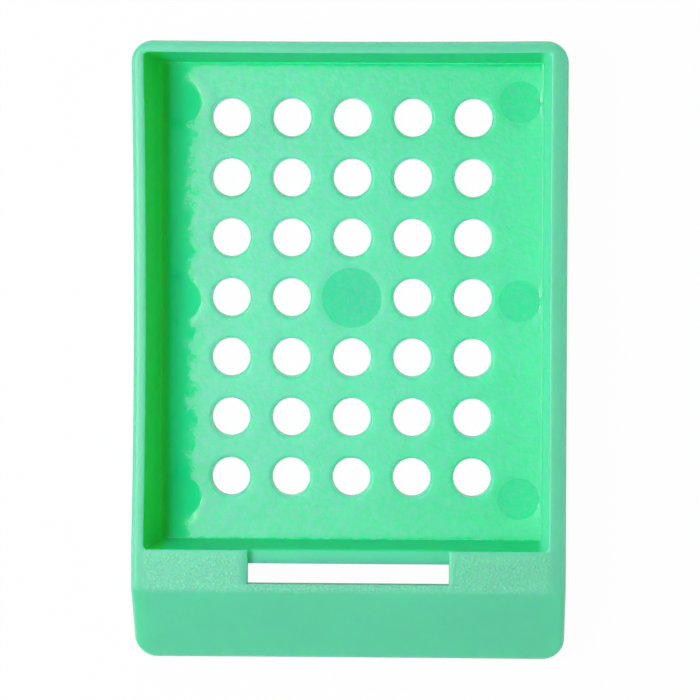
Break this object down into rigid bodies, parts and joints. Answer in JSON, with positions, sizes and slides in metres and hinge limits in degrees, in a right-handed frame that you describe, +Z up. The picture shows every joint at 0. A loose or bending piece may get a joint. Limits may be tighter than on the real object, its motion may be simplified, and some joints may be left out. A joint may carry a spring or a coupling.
{
  "type": "tissue cassette base",
  "caption": "Open rectangular plastic tray with a perforated floor, a slotted front shelf and a sloping writing face.",
  "frame": {"origin": "centre of the footprint, on the plane that the cassette rests on", "axes": "+X right, +Y from the writing slope towards the rear wall, +Z up out of the open tray"},
  "size_m": [0.0284, 0.0406, 0.006],
  "materials": {
    "acetal_green": "mint green moulded acetal: satin rim, walls and slope, grained shelf and floor"
  },
  "bodies": {
    "root": {"cassette_base": "acetal_green"}
  },
  "joints": []
}
